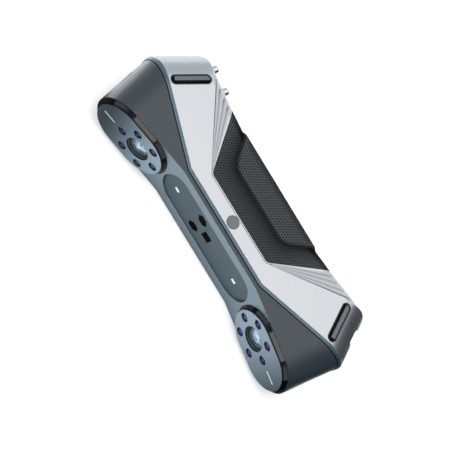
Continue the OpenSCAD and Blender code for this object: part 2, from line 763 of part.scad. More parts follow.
module rear_shell() color([0.85, 0.85, 0.87]) placed() difference() {
  union() {
    difference() {
      rear_form(0);
      grip_hollow();
      difference() {
        rear_form(skin);
        grip_region(skin);
      }
    }
    intersection() {
      rear_form(skin / 2);
      union() {
        // Wells behind the strap slots, with room for the key board in the wall of one
        difference() {
          for (side = [-1, 1], flip = [0, 1]) mirror([0, 0, flip]) at_slot(side)
            translate([0, 0, half_t - slot_depth - wall]) linear_extrude(far / 4) slot_outline(wall);
          key_board_block(0.3, key_board_face - switch_top + 0.3);
          key_screw_place() translate([0, -key_board_face - key_board_t - key_screw_head - 0.3, 0])
            rod_y(2 * key_screw_r + 0.3, key_screw_head + 0.3);
        }
        // Block behind the notch, which carries the cable inlet
        at_end(1) translate([notch_floor - port_len, -notch_back - notch_len / 2 - wall, -half_t])
          cube([port_len, notch_len + notch_slope + 2 * wall, body_t]);
        // Boss round the tripod insert
        translate([0, button_y, -half_t]) cylinder(r = insert_r + wall, h = insert_len + 1);
        // Post that carries the key board
        key_screw_place() translate([0, -key_board_face, 0]) rod_y(2.4, key_board_face);
      }
    }
    // Collars round the rear keys
    key_places() translate([0, -cut, 0]) rod_y(key_r + key_gap + 1, cut + key_collar);
  }
  difference() {
    translate([-far, -far, -far]) cube(2 * far);
    behind_seam(0);
  }
  difference() {
    grip_region(0);
    grip_core(0);
  }
  // Room for a main board that is wider than the hollow under the grip
  translate([-main_len / 2 - board_room, board_y - board_room, -main_w / 2 - board_room])
    cube([main_len + 2 * board_room, board_t + 2 * board_room, main_w + 2 * board_room]);
  for (side = [-1, 1]) corner_cut(side);
  rib_fans();
  parting_line();
  for (side = [-1, 1], flip = [0, 1]) mirror([0, 0, flip]) at_slot(side)
    translate([0, 0, half_t - slot_depth]) linear_extrude(far / 4) slot_outline(0);
  notch_cut();
  at_end(1) translate([notch_floor - port_len - cut, -notch_back, 0]) along_x(far / 4)
    port_outline(port_w / 2, port_h / 2);
  nut_places() translate([-nut_depth - cut, 0, 0]) rotate([0, 90, 0]) cylinder(r = nut_r, h = far / 4);
  translate([0, button_y, 0]) {
    translate([0, 0, half_t - skin - cut]) cylinder(r = button_r + button_gap, h = far / 4);
    // Room for the button's flange and its travel
    translate([0, 0, button_flange_top - button_flange_t - key_travel - 0.3])
      cylinder(r = button_flange_r + 0.2, h = button_flange_t + key_travel + 0.4);
  }
  translate([0, button_y, -half_t - cut]) cylinder(r = insert_r, h = insert_len + cut);
  key_places() {
    translate([0, -skin - cut, 0]) rod_y(key_r + key_gap, far / 4);
    translate([0, -skin - 2 * cut, 0]) rod_y(key_flange_r + 0.2, 2 * cut);
  }
  key_screw_place() translate([0, -key_board_face - cut, 0]) rod_y(key_screw_r + 0.05, 3 + cut);
}

// The hollow under the grip, joined to the hollows of the two ends
module grip_hollow() intersection() {
  grip_core(wall);
  ends_form(cavity_half);
}

nut_depth = 5;

module notch_cut() at_end(1) translate([0, -notch_back, -far / 4]) linear_extrude(far / 2) polygon([
  [notch_floor, -notch_len / 2], [notch_floor, notch_len / 2],
  [cut, notch_len / 2 + notch_slope], [far / 4, notch_len / 2 + notch_slope],
  [far / 4, -notch_len / 2 - 0.6], [cut, -notch_len / 2 - 0.6]
]);

// The inlet's outline in Y and Z, longest along Z
module port_outline(w, h) {
  for (s = [-1, 1]) translate([0, s * (w - h)]) circle(h);
  translate([-h, h - w]) square([2 * h, 2 * (w - h)]);
}

module nut_places() at_end(1) for (s = [-1, 1])
  translate([notch_floor, -notch_back, s * nut_pitch / 2]) children();

module cable_port() color("Silver") placed() at_end(1) translate([notch_floor - port_len, -notch_back, 0]) {
  difference() {
    along_x(port_len) port_outline(port_w / 2, port_h / 2);
    translate([1, 0, 0]) along_x(port_len) port_outline(port_w / 2 - 0.35, port_h / 2 - 0.35);
  }
  translate([0, -0.35, -port_w / 2 + 1.2]) cube([port_len - 1.2, 0.7, port_w - 2.4]);
}

module port_board() color("DarkGreen") placed() at_end(1)
  translate([notch_floor - port_len - cut, -notch_back - port_board_len / 2, -port_board_h / 2])
    cube([cut, port_board_len, port_board_h]);

module port_nuts() color("Goldenrod") placed() nut_places() difference() {
  translate([-nut_depth, 0, 0]) rotate([0, 90, 0]) cylinder(r = nut_r, h = nut_depth);
  translate([-nut_depth + 1, 0, 0]) rotate([0, 90, 0]) cylinder(r = nut_hole_r, h = nut_depth);
}

module tripod_insert() color("Goldenrod") placed() translate([0, button_y, -half_t]) difference() {
  cylinder(r = insert_r, h = insert_len);
  translate([0, 0, -cut]) cylinder(r = insert_hole_r, h = insert_len + 2 * cut);
}

// Border of the grip, which falls from the silver face into the valley
module grip_border() {
  back_y = wing_y + border_proud;
  low = half_t - valley_depth;
  translate([-far / 2, 0, 0]) along_x(far) back_profile(low, back_y, back_round + 1);
  translate([-far / 2, 0, 0]) along_x(far) polygon([
    [grip_front - cut, -half_t], [grip_front + 6, -half_t], [pad_front + 2, -low],
    [pad_front + 2, low], [grip_front + 6, half_t], [grip_front - cut, half_t]
  ]);
}

module pad_region() translate([0, 0, -far / 2]) linear_extrude(far)
  shield(pad_run, pad_front, pad_angle, pad_corner);

module grip() color([0.16, 0.17, 0.17]) placed() difference() {
  intersection() {
    grip_region(-fit_gap);
    union() {
      grip_border();
      intersection() {
        pad_region();
        translate([-far / 2, 0, 0]) along_x(far)
          back_profile(half_t - pad_sink, wing_y + pad_proud, back_round + 2);
      }
    }
  }
  grip_core(0);
}

module side_button() color("Gray") placed() translate([0, button_y, 0]) {
  translate([0, 0, button_flange_top - button_flange_t]) {
    cylinder(r = button_r, h = half_t - button_flange_top + button_flange_t);
    cylinder(r = button_flange_r, h = button_flange_t);
  }
  translate([0, 0, button_stem_end]) cylinder(r = 1.8, h = half_t - button_stem_end - cut);
}

module button_board() color("DarkGreen") placed() translate([0, button_y, bench_w / 2]) {
  translate([-7, bench_y - button_y, 0]) cube([14, bench_t, board_t]);
  translate([-2.8, -2.8, 0]) cube([5.6, 5.2, board_t + 2.2]);
  cylinder(r = 1.5, h = board_t + 2.9);
}

// Places of the two rear keys, the inner one first
module key_at(i) at_wing(-1) translate([wing_len - key_in - (1 - i) * key_pitch, 0, key_z]) children();

module key_places() for (i = [0, 1]) key_at(i) children();

module key_screw_place() key_at(0.42) children();

module rear_key(i) color("LightGray") placed() key_at(i) {
  round_r = 0.9;
  rotate([-90, 0, 0]) translate([0, 0, -skin - 0.2]) rotate_extrude() union() {
    square([key_r, skin + 0.2 + key_proud - round_r]);
    square([key_r - round_r, skin + 0.2 + key_proud]);
    translate([key_r - round_r, skin + 0.2 + key_proud - round_r]) circle(round_r);
  }
  translate([0, -skin - 0.2 - key_flange_t, 0]) rod_y(key_flange_r, key_flange_t);
  translate([0, -key_stem_end, 0]) rod_y(1.2, key_stem_end - skin);
}

module outer_key() rear_key(1);
module inner_key() rear_key(0);

// The key board as a plain block, widened by d and reaching h in front of the board
module key_board_block(d, h) key_at(0)
  translate([-key_board_end - d, -key_board_face - key_board_t - d, -key_board_low - d])
    cube([key_pitch + 2 * (key_board_end + d), key_board_t + h + d, key_board_low + key_board_high + 2 * d]);

module key_board() color("DarkGreen") placed() difference() {
  union() {
    key_board_block(0, 0);
    key_places() translate([0, -key_board_face, 0]) rod_y(2.4, key_board_face - switch_top);
  }
  key_screw_place() translate([0, -key_board_face - 2, 0]) rod_y(key_screw_r + 0.05, 4);
}

module key_board_screw() color("DarkGray") placed() key_screw_place()
  translate([0, -key_board_face - key_board_t, 0]) {
    rod_y(key_screw_r, key_board_t + 2);
    translate([0, -key_screw_head, 0]) rod_y(2 * key_screw_r, key_screw_head);
  }

// Black cups that line the two strap slots of one end, each with its strap bar in one piece
module strap_cups(side) color([0.07, 0.07, 0.08]) placed() for (flip = [0, 1]) mirror([0, 0, flip])
  at_slot(side) translate([0, 0, half_t - slot_depth]) {
    difference() {
      linear_extrude(slot_depth - liner_sink) slot_outline(-fit_gap);
      translate([0, 0, liner_t]) linear_extrude(slot_depth) slot_outline(-fit_gap - liner_t);
    }
    intersection() {
      translate([slot_w / 2 - fit_gap - liner_t - hook_space - hook_w, hook_open - slot_len / 2,
        slot_depth - hook_sink - hook_h]) cube([hook_w, slot_len, hook_h]);
      linear_extrude(slot_depth) slot_outline(-fit_gap - liner_t / 2);
    }
  }

module left_pod_rim() pod_rim(-1);
module right_pod_rim() pod_rim(1);
module left_pod_face() pod_face(-1);
module right_pod_face() pod_face(1);
module left_camera_barrel() camera_barrel(-1);
module right_camera_barrel() camera_barrel(1);
module left_lens() lens(-1);
module right_lens() lens(1);
module left_light_domes() light_domes(-1);
module right_light_domes() light_domes(1);
module left_light_board() light_board(-1);
module right_light_board() light_board(1);
module left_light_strip() light_strip(-1);
module right_light_strip() light_strip(1);
module left_sensor_board() sensor_board(-1);
module right_sensor_board() sensor_board(1);
module left_strap_cups() strap_cups(-1);
module right_strap_cups() strap_cups(1);

rear_shell();
seam_band();
body_shell();
front_bezel();
projector_plate();
leaf_windows();
camera_window();
slim_light_window();
square_light_window();
left_pod_rim();
right_pod_rim();
left_pod_face();
right_pod_face();
left_camera_barrel();
right_camera_barrel();
left_lens();
right_lens();
left_light_domes();
right_light_domes();
left_light_board();
right_light_board();
left_light_strip();
right_light_strip();
left_sensor_board();
right_sensor_board();
optical_bench();
line_light_modules();
colour_camera();
grip();
side_button();
button_board();
outer_key();
inner_key();
key_board();
key_board_screw();
left_strap_cups();
right_strap_cups();
cable_port();
port_board();
port_nuts();
tripod_insert();
main_board();
board_standoffs();
bench_screws();
board_screws();
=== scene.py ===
import math

import bmesh
import bpy
from mathutils import Matrix, Vector


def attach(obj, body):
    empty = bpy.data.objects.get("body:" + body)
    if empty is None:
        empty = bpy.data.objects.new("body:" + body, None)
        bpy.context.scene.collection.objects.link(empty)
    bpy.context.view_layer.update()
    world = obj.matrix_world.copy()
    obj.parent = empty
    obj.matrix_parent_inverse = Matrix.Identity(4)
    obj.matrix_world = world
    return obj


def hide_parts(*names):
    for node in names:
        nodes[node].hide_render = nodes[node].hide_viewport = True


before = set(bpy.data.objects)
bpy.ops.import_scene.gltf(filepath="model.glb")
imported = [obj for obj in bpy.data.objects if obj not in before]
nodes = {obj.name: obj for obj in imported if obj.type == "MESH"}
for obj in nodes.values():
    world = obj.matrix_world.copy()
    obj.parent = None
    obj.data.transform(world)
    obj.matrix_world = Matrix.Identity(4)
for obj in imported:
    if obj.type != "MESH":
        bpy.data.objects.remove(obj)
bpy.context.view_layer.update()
print("frame loaded:", len(nodes), "pieces")

# Camera, from the lens centres, the light domes and the outline of the photograph: its place in metres, its
# axes, and its lens and sensor in millimetres
camera = {
    "place": (-0.04970, -0.52910, 0.98013),
    "right": (0.52039, 0.73341, 0.43737),
    "down": (0.85270, -0.47380, -0.22006),
    "forward": (0.04583, 0.48746, -0.87194),
    "lens": 148.62,
    "sensor": 36,
    "reach": 20,
}


def makeCamera(c):
    data = bpy.data.cameras.new("camera")
    data.lens = c["lens"]
    data.sensor_width = c["sensor"]
    data.clip_end = c["reach"]
    eye = bpy.data.objects.new("camera", data)
    turn = Matrix((c["right"], [-v for v in c["down"]], [-v for v in c["forward"]])).transposed()
    eye.matrix_world = Matrix.Translation(c["place"]) @ turn.to_4x4()
    bpy.context.scene.collection.objects.link(eye)
    bpy.context.scene.camera = eye


makeCamera(camera)

# Sizes that several pieces share, in millimetres in the lens frame: its origin lies half way between the
# lenses at half thickness, Y runs to the back and Z up
body = {
    "halfThick": 21.5,
    "buttonY": 17,
    "lensX": 65,
    "toeIn": 10,
    "seamY": 12.4,
    "seamRun": 39.3,
    "seamAngle": 19.7,
    "bandWide": 2.4,
}
mm = 0.001
toPart = Matrix.Translation((0, -body["buttonY"] * mm, body["halfThick"] * mm)) @ Matrix.Scale(mm, 4)
ends = ((-1, "left"), (1, "right"))


def podMatrix(side):
    # the lens centre, X outwards along the pod, Y backwards along its optical axis
    mirror = Matrix.Scale(side, 4, (1, 0, 0))
    toe = Matrix.Rotation(-math.radians(body["toeIn"]), 4, "Z")
    return toPart @ mirror @ Matrix.Translation((body["lensX"], 0, 0)) @ toe


# Node trees: put adds a node and fills its sockets, and the functions after it add the nodes that come often
def put(tree, kind, sockets=None, **settings):
    node = tree.nodes.new(kind)
    for key, value in settings.items():
        setattr(node, key, value)
    for key, value in (sockets or {}).items():
        if isinstance(value, bpy.types.NodeSocket):
            tree.links.new(value, node.inputs[key])
        else:
            node.inputs[key].default_value = value
    return node


def reckon(tree, what, a, b=0.0, c=0.0, clamp=False):
    return put(tree, "ShaderNodeMath", {0: a, 1: b, 2: c}, operation=what, use_clamp=clamp).outputs[0]


def reckonVector(tree, what, *values):
    node = put(tree, "ShaderNodeVectorMath", dict(enumerate(values)), operation=what)
    return node.outputs["Value" if what in ("DOT_PRODUCT", "LENGTH") else "Vector"]


def scaleVector(tree, value, factor):
    node = put(tree, "ShaderNodeVectorMath", {0: value, "Scale": factor}, operation="SCALE")
    return node.outputs["Vector"]


def split(tree, value):
    return put(tree, "ShaderNodeSeparateXYZ", {0: value}).outputs


def objectPlace(tree):
    return put(tree, "ShaderNodeTexCoord").outputs["Object"]


def smoothStep(tree, value, low, high, start=0.0, end=1.0):
    return put(tree, "ShaderNodeMapRange", {
        "Value": value, "From Min": low, "From Max": high, "To Min": start, "To Max": end},
        interpolation_type="SMOOTHSTEP").outputs["Result"]


def evenStep(tree, value, low, high):
    node = put(tree, "ShaderNodeMapRange", {"Value": value, "From Min": low, "From Max": high})
    return node.outputs["Result"]


def blend(tree, share, first, second):
    # between two colours
    return put(tree, "ShaderNodeMixRGB", {"Fac": share, "Color1": first, "Color2": second}).outputs["Color"]


def between(tree, share, first, second):
    # between two numbers
    return put(tree, "ShaderNodeMix", {0: share, 2: first, 3: second}, data_type="FLOAT").outputs[0]


def shadeRamp(tree, share, stops):
    ramp = put(tree, "ShaderNodeValToRGB", {"Fac": share})
    marks = ramp.color_ramp.elements
    while len(marks) < len(stops):
        marks.new(0.5)
    for mark, (place, shade) in zip(marks, stops):
        mark.position = place
        mark.color = shade
    return ramp.outputs["Color"]


def makeGroup(name, kind, inputs, outputs):
    group = bpy.data.node_groups.new(name, kind)
    for label, (socketKind, value) in inputs.items():
        socket = group.interface.new_socket(label, in_out="INPUT", socket_type=socketKind)
        if value is not None:
            socket.default_value = value
    for label, socketKind in outputs.items():
        group.interface.new_socket(label, in_out="OUTPUT", socket_type=socketKind)
    return group, group.nodes.new("NodeGroupInput").outputs, group.nodes.new("NodeGroupOutput")


number = "NodeSocketFloat"
vector = "NodeSocketVector"

# Every finish has rounded edges that catch the light, a fine moulded grain and wide faint patches. A crevice
# is told by how closed in a point is, and a side by how far its face turns away from the front.
surface = {
    "edgeRadius": 0.4, "edgeSamples": 6, "edgeGain": 5.0,
    "grainScale": 2600.0, "grainDetail": 2.0, "grainDepth": 0.02, "grainHeight": 0.2,
    "patchScale": 45.0, "patchDetail": 3.0, "roughLeast": 0.85, "roughSpread": 0.3,
    "creviceSamples": 12, "creviceClosed": 0.5, "creviceOpen": 0.87, "sideFrom": -0.8, "sideTo": -0.95,
}


def makeSurfaceDetail(s):
    group, given, result = makeGroup("surfaceDetail", "ShaderNodeTree", {
        "Edge Radius": (number, s["edgeRadius"] * mm), "Grain Scale": (number, s["grainScale"]),
        "Grain Depth": (number, s["grainDepth"]), "Patch Scale": (number, s["patchScale"])},
        {"Edge": number, "Patch": number, "Normal": vector})
    place = objectPlace(group)
    bevel = put(group, "ShaderNodeBevel", {"Radius": given["Edge Radius"]}, samples=s["edgeSamples"])
    rounded = bevel.outputs["Normal"]
    flat = put(group, "ShaderNodeNewGeometry").outputs["Normal"]
    along = reckonVector(group, "DOT_PRODUCT", rounded, flat)
    edge = reckon(group, "MULTIPLY", reckon(group, "SUBTRACT", 1.0, along), s["edgeGain"], clamp=True)
    grain = put(group, "ShaderNodeTexNoise", {
        "Vector": place, "Scale": given["Grain Scale"], "Detail": s["grainDetail"]}).outputs["Fac"]
    patch = put(group, "ShaderNodeTexNoise", {
        "Vector": place, "Scale": given["Patch Scale"], "Detail": s["patchDetail"]}).outputs["Fac"]
    bump = put(group, "ShaderNodeBump", {
        "Height": grain, "Strength": given["Grain Depth"], "Distance": s["grainHeight"] * mm,
        "Normal": rounded})
    for label, socket in (("Edge", edge), ("Patch", patch), ("Normal", bump.outputs["Normal"])):
        group.links.new(socket, result.inputs[label])
    return group


# Honeycomb from a plan in metres: the distance from the nearest cell's middle, as a share of the half pitch
def makeHoneycomb():
    group, given, result = makeGroup("honeycomb", "ShaderNodeTree", {
        "Plan": (vector, None), "Pitch": (number, 1.5 * mm)}, {"Wall": number})
    plan = scaleVector(group, given["Plan"], reckon(group, "DIVIDE", 1.0, given["Pitch"]))
    step = (1.0, math.sqrt(3), 1.0)
    half = (0.5, math.sqrt(3) / 2, 0.5)
    lengths = []
    walls = []
    for shift in ((0.0, 0.0, 0.0), half):
        moved = reckonVector(group, "SUBTRACT", plan, shift)
        wrapped = reckonVector(group, "WRAP", moved, step, (0.0, 0.0, 0.0))
        near = reckonVector(group, "SUBTRACT", wrapped, half)
        flat = reckonVector(group, "MULTIPLY", near, (1.0, 1.0, 0.0))
        lengths.append(reckonVector(group, "LENGTH", flat))
        away = reckonVector(group, "ABSOLUTE", flat)
        slanted = reckonVector(group, "DOT_PRODUCT", away, half)
        walls.append(reckon(group, "MAXIMUM", slanted, split(group, away)["X"]))
    first = reckon(group, "LESS_THAN", lengths[0], lengths[1])
    wall = reckon(group, "MULTIPLY", between(group, first, walls[1], walls[0]), 2.0)
    group.links.new(wall, result.inputs["Wall"])
    return group


# Distance in front of the silver shell's edge, in metres, over the bend of the seam
def makeSeamDistance():
    group, _, result = makeGroup("seamDistance", "ShaderNodeTree", {}, {"Distance": number})
    place = split(group, objectPlace(group))
    past = reckon(group, "SUBTRACT", reckon(group, "ABSOLUTE", place["X"]), body["seamRun"] * mm)
    slope = math.tan(math.radians(body["seamAngle"]))
    edgeY = reckon(group, "MULTIPLY_ADD", reckon(group, "MAXIMUM", past, 0.0), slope,
                   (body["seamY"] - body["buttonY"]) * mm)
    group.links.new(reckon(group, "SUBTRACT", edgeY, place["Y"]), result.inputs["Distance"])
    return group


surfaceDetail = makeSurfaceDetail(surface)
honeycomb = makeHoneycomb()
seamDistance = makeSeamDistance()
print("node groups made")


def colour(rgb):
    # from the eye's 0 to 255 to the shader's linear light
    return tuple((v / 255 / 12.92) if v < 10.3 else ((v / 255 + 0.055) / 1.055) ** 2.4 for v in rgb) + (1,)


# A finish: its colour, the shade of its patches and of its edges, and the shader's own values. The edge
# colour is partly wear and partly a painted highlight, or painted shade where it is darker than the colour.
# Lengths are in millimetres. A crevice colour is painted shade in fine grooves and beside walls, a side
# colour goes on all faces but the front ones.
finishes = {
    "silver": {"colour": (205, 207, 210), "patch": (203, 205, 208), "edge": (230, 234, 237), "worn": 0.4,
               "crevice": (40, 44, 50), "creviceReach": 1.2,
               "rough": 0.28, "radius": 0.12, "grain": 0.0, "Metallic": 0.93},
    "podGrey": {"colour": (147, 163, 175), "patch": (141, 157, 169), "edge": (150, 166, 178), "worn": 0.3,
                "side": (18, 20, 23), "rough": 0.26, "radius": 0.08, "grain": 0.01, "Metallic": 0.85},
    "bezelGrey": {"colour": (127, 143, 154), "patch": (120, 137, 148), "edge": (160, 176, 186), "worn": 0.4,
                  "rough": 0.32, "radius": 0.25, "grain": 0.03, "Metallic": 0.6},
    "darkBody": {"colour": (42, 52, 59), "patch": (38, 48, 55), "edge": (104, 116, 126), "worn": 0.4,
                 "rough": 0.28, "radius": 0.2, "grain": 0.012, "IOR": 1.62},
    "glossBlack": {"colour": (8, 9, 11), "patch": (11, 12, 14), "edge": (52, 56, 62), "worn": 0.3,
                   "rough": 0.08, "radius": 0.15, "grain": 0.0, "Coat Weight": 0.15},
    "plateGrey": {"colour": (71, 86, 95), "patch": (66, 81, 90), "edge": (104, 120, 129), "worn": 0.3,
                  "crevice": (6, 8, 10), "creviceReach": 2.0,
                  "rough": 0.36, "radius": 0.15, "grain": 0.04, "Metallic": 0.4},
    "blackGlass": {"colour": (3, 3, 4), "patch": (5, 5, 6), "edge": (30, 34, 38), "worn": 0.3,
                   "rough": 0.06, "radius": 0.1, "grain": 0.0, "Specular IOR Level": 0.01},
    "whiteLens": {"colour": (228, 234, 238), "patch": (216, 224, 230), "edge": (250, 250, 250), "worn": 0.5,
                  "rough": 0.3, "radius": 0.2, "grain": 0.05,
                  "Emission Strength": 0.25, "Subsurface Weight": 0.2},
    "cupMetal": {"colour": (112, 125, 133), "patch": (102, 115, 123), "edge": (128, 141, 149), "worn": 0.6,
                 "rough": 0.32, "radius": 0.2, "grain": 0.04, "Metallic": 0.5},
    "blueResin": {"colour": (30, 33, 104), "patch": (40, 45, 128), "edge": (96, 102, 180), "worn": 0.2,
                  "rough": 0.08, "radius": 0.1, "grain": 0.0, "Specular IOR Level": 0.5},
    "circuitGreen": {"colour": (16, 74, 44), "patch": (20, 88, 52), "edge": (150, 140, 90), "worn": 0.6,
                     "rough": 0.4, "radius": 0.1, "grain": 0.1},
    "castMetal": {"colour": (172, 174, 178), "patch": (158, 160, 166), "edge": (210, 212, 214), "worn": 0.5,
                  "rough": 0.38, "radius": 0.3, "grain": 0.15, "Metallic": 1.0},
    "discGrey": {"colour": (112, 112, 112), "patch": (104, 104, 105), "edge": (70, 70, 72), "worn": 0.6,
                 "rough": 0.45, "radius": 0.25, "grain": 0.2},
    "chrome": {"colour": (224, 226, 228), "patch": (216, 218, 222), "edge": (244, 245, 246), "worn": 0.5,
               "rough": 0.1, "radius": 0.4, "grain": 0.02, "Metallic": 1.0},
    "cupBlack": {"colour": (14, 16, 18), "patch": (10, 12, 14), "edge": (120, 126, 132), "worn": 0.5,
                 "rough": 0.3, "radius": 0.25, "grain": 0.05},
    "barGrey": {"colour": (104, 112, 118), "patch": (96, 104, 110), "edge": (186, 192, 198), "worn": 0.8,
                "rough": 0.26, "radius": 0.35, "grain": 0.04, "Metallic": 0.4},
    "brass": {"colour": (186, 148, 80), "patch": (170, 130, 66), "edge": (220, 190, 130), "worn": 0.5,
              "rough": 0.28, "radius": 0.2, "grain": 0.1, "Metallic": 1.0},
    "steel": {"colour": (150, 152, 156), "patch": (138, 140, 146), "edge": (200, 202, 206), "worn": 0.5,
              "rough": 0.26, "radius": 0.2, "grain": 0.08, "Metallic": 1.0},
}


def startFinish(name, look):
    # a material with its edges, grain and plain shader values, which still needs its colour
    mat = bpy.data.materials.new(name)
    mat.use_nodes = True
    tree = mat.node_tree
    shader = tree.nodes["Principled BSDF"]
    detail = put(tree, "ShaderNodeGroup", {
        "Edge Radius": look["radius"] * mm, "Grain Depth": look["grain"]}, node_tree=surfaceDetail).outputs
    rough = reckon(tree, "MULTIPLY_ADD", detail["Patch"], look["rough"] * surface["roughSpread"],
                   look["rough"] * surface["roughLeast"])
    tree.links.new(rough, shader.inputs["Roughness"])
    tree.links.new(detail["Normal"], shader.inputs["Normal"])
    for key, value in look.items():
        if key in shader.inputs:
            shader.inputs[key].default_value = value
    return mat, tree, shader, detail


def makeFinish(name, look):
    mat, tree, shader, detail = startFinish(name, look)
    shade = blend(tree, detail["Patch"], colour(look["colour"]), colour(look["patch"]))
    # edges take the edge colour: partly wear, partly a painted highlight, or painted shade where the edge
    # colour is darker
    edgeWearAndLightMask = reckon(tree, "MULTIPLY", detail["Edge"], look["worn"])
    shade = blend(tree, edgeWearAndLightMask, shade, colour(look["edge"]))
    # painted shade: closed-in points, in fine grooves and beside the walls of other pieces, darken towards
    # the crevice colour
    if "crevice" in look:
        room = put(tree, "ShaderNodeAmbientOcclusion", {"Distance": look["creviceReach"] * mm},
                   samples=surface["creviceSamples"]).outputs["AO"]
        deep = smoothStep(tree, room, surface["creviceClosed"], surface["creviceOpen"], 1.0, 0.0)
        shade = blend(tree, deep, shade, colour(look["crevice"]))
    if "side" in look:
        facing = split(tree, put(tree, "ShaderNodeNewGeometry").outputs["Normal"])["Y"]
        front = evenStep(tree, facing, surface["sideFrom"], surface["sideTo"])
        shade = blend(tree, front, colour(look["side"]), shade)
    tree.links.new(shade, shader.inputs["Base Color"])
    if "Emission Strength" in look:
        shader.inputs["Emission Color"].default_value = colour(look["colour"])
    return mat


# The trim band, painted in stripes: a pale lip that is a painted highlight, a fine groove and a black gap at
# the front that are painted shade, and the blue-grey face between them
seamTrim = {
    "look": {"rough": 0.34, "radius": 0.15, "grain": 0.02, "Metallic": 0.85},
    "stops": ((0.0, (126, 144, 156)), (0.16, (150, 170, 184)), (0.24, (44, 52, 60)), (0.36, (52, 62, 70)),
              (0.44, (112, 132, 146)), (0.76, (96, 114, 126)), (0.84, (20, 23, 26)), (1.0, (16, 18, 20))),
}


def makeSeamTrim(s):
    mat, tree, shader, _ = startFinish("seamTrim", s["look"])
    distance = put(tree, "ShaderNodeGroup", node_tree=seamDistance).outputs["Distance"]
    share = reckon(tree, "DIVIDE", distance, body["bandWide"] * mm)
    # the stripes paint a highlight on the lip and shade in the groove and the gap
    shade = shadeRamp(tree, share, [(place, colour(rgb)) for place, rgb in s["stops"]])
    tree.links.new(shade, shader.inputs["Base Color"])
    return mat


# The grip's rubber: raised honeycomb walls over darker cells
rubber = {
    "look": {"rough": 0.8, "radius": 0.3, "grain": 0.3, "Specular IOR Level": 0.04},
    # the valley colour is painted shade and the ridge colour a painted highlight
    "wall": (86, 90, 93), "cell": (48, 51, 53), "valley": (12, 14, 15), "ridgeHighlight": (84, 88, 91),
    "pitch": 1.8, "wallFrom": 0.55, "wallTo": 0.92, "wallStrength": 0.7, "wallHeight": 0.4,
}


def makeRubber(r):
    mat, tree, shader, detail = startFinish("gripRubber", r["look"])
    plan = put(tree, "ShaderNodeUVMap", uv_map="skin").outputs["UV"]
    cells = put(tree, "ShaderNodeGroup", {"Plan": plan, "Pitch": r["pitch"] * mm}, node_tree=honeycomb)
    raised = smoothStep(tree, cells.outputs["Wall"], r["wallFrom"], r["wallTo"])
    bump = put(tree, "ShaderNodeBump", {
        "Height": raised, "Strength": r["wallStrength"], "Distance": r["wallHeight"] * mm,
        "Normal": detail["Normal"]})
    shade = blend(tree, raised, colour(r["cell"]), colour(r["wall"]))
    # painted highlight along the ridge of the pad, painted shade down in the valley, towards the front and on
    # the turn to the back
    paintedLightOnRelief = put(tree, "ShaderNodeAttribute", attribute_name="paintedLightOnRelief").outputs["Fac"]
    low = reckon(tree, "MULTIPLY", paintedLightOnRelief, -1.0, clamp=True)
    high = reckon(tree, "MULTIPLY", reckon(tree, "MAXIMUM", paintedLightOnRelief, 0.0), raised)
    shade = blend(tree, low, shade, colour(r["valley"]))
    shade = blend(tree, high, shade, colour(r["ridgeHighlight"]))
    tree.links.new(shade, shader.inputs["Base Color"])
    tree.links.new(bump.outputs["Normal"], shader.inputs["Normal"])
    return mat


# The lens: pale glass with painted bright broken reflections, like those of the glass elements behind it
lensGlass = {
    "look": {"rough": 0.03, "radius": 0.1, "grain": 0.0, "Coat Weight": 0.6},
    "deep": (108, 146, 178), "bright": (206, 224, 238), "cellScale": 380.0, "cellFrom": 0.35, "cellTo": 0.6,
}


def makePaintedGlintGlass(g):
    mat, tree, shader, _ = startFinish("paintedGlintGlass", g["look"])
    cells = put(tree, "ShaderNodeTexVoronoi", {
        "Vector": objectPlace(tree), "Scale": g["cellScale"], "Randomness": 1.0}, feature="F1")
    tone = split(tree, cells.outputs["Color"])["X"]
    sharp = evenStep(tree, tone, g["cellFrom"], g["cellTo"])
    tree.links.new(blend(tree, sharp, colour(g["deep"]), colour(g["bright"])), shader.inputs["Base Color"])
    return mat


made = {name: makeFinish(name, look) for name, look in finishes.items()}
made["seamTrim"] = makeSeamTrim(seamTrim)
made["gripRubber"] = makeRubber(rubber)
made["paintedGlintGlass"] = makePaintedGlintGlass(lensGlass)

wears = {
    "rear_shell": "silver", "seam_band": "seamTrim", "body_shell": "darkBody", "front_bezel": "bezelGrey",
    "projector_plate": "plateGrey", "leaf_windows": "blackGlass", "camera_window": "blackGlass",
    "slim_light_window": "whiteLens", "square_light_window": "whiteLens", "optical_bench": "castMetal",
    "line_light_modules": "brass", "colour_camera": "cupMetal", "grip": "gripRubber",
    "side_button": "discGrey", "button_board": "circuitGreen", "outer_key": "chrome", "inner_key": "chrome",
    "key_board": "circuitGreen", "key_board_screw": "steel", "cable_port": "steel",
    "port_board": "circuitGreen", "port_nuts": "brass", "tripod_insert": "brass",
    "main_board": "circuitGreen", "board_standoffs": "steel", "bench_screws": "steel",
    "board_screws": "steel",
}
for _, label in ends:
    wears.update({
        label + "_pod_rim": "glossBlack", label + "_pod_face": "podGrey", label + "_lens": "paintedGlintGlass",
        label + "_camera_barrel": "cupMetal", label + "_sensor_board": "circuitGreen",
        label + "_light_domes": "blueResin", label + "_light_board": "circuitGreen",
        label + "_light_strip": "whiteLens", label + "_strap_cups": "cupBlack",
    })
for name, piece in nodes.items():
    piece.data.materials.clear()
    piece.data.materials.append(made[wears[name]])
print("finishes on", len(wears), "pieces")


def setPlace(mesh, place):
    mesh.transform(place)
    if place.determinant() < 0:
        # a mirrored mesh has been turned inside out
        mesh.flip_normals()


def closeMesh(bm, name, mat, place=Matrix()):
    # turns a finished shape into a mesh with outward faces, in its place and with its finish
    bmesh.ops.recalc_face_normals(bm, faces=bm.faces[:])
    mesh = bpy.data.meshes.new(name)
    bm.to_mesh(mesh)
    bm.free()
    setPlace(mesh, place)
    mesh.materials.append(mat)
    return mesh


def newPiece(name, mesh, bodyName, stands=(), slotName=None):
    piece = bpy.data.objects.new(name, mesh)
    bpy.context.scene.collection.objects.link(piece)
    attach(piece, bodyName)
    if stands:
        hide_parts(*stands)
    return piece
